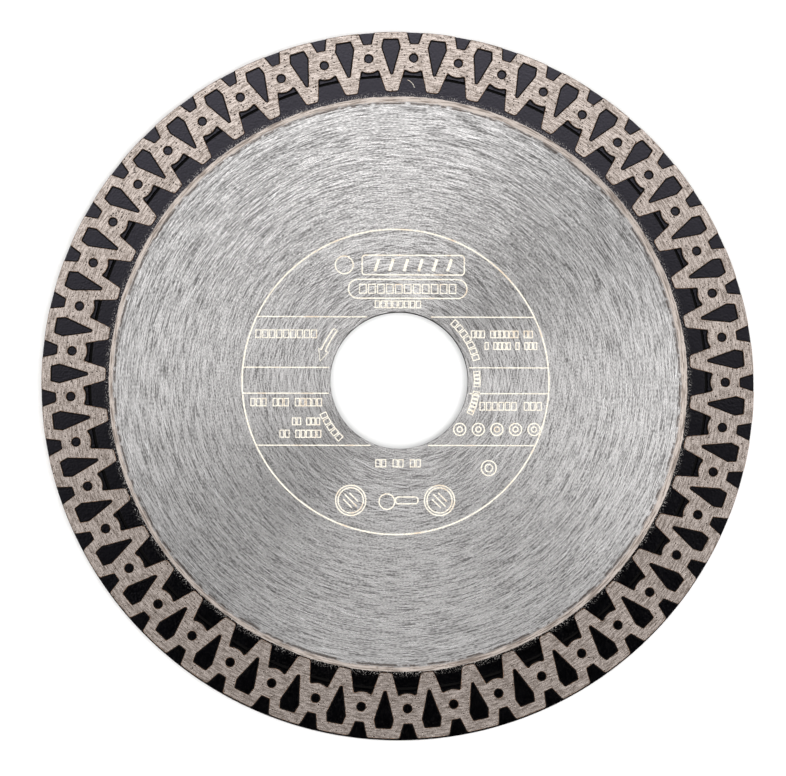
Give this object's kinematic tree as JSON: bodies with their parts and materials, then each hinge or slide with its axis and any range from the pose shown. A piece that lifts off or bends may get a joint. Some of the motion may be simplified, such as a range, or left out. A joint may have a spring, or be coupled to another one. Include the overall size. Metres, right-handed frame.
{
  "type": "diamond blade",
  "caption": "Thin round diamond blade with a flat steel core, a plain arbor bore and a sintered mesh-pattern cutting rim, for porcelain tile on an angle grinder.",
  "frame": {"origin": "centre of the arbor bore, halfway through the thickness", "axes": "+Z along the spin axis, out of the marked face; +X to the right and +Y up as the marking is read"},
  "size_m": [0.115, 0.115, 0.0014],
  "materials": {
    "core_steel": "brushed in overlapping curved strokes, satin",
    "sintered_rim": "lands ground flat with fine tangential lines and dark grit, pockets left as moulded",
    "rim_paint": "thin satin black coating in the pockets and on the outer band of the core",
    "laser_mark": "matt pale laser marking"
  },
  "bodies": {
    "root": {"steel_core": "core_steel", "diamond_rim": "sintered_rim"}
  },
  "joints": []
}
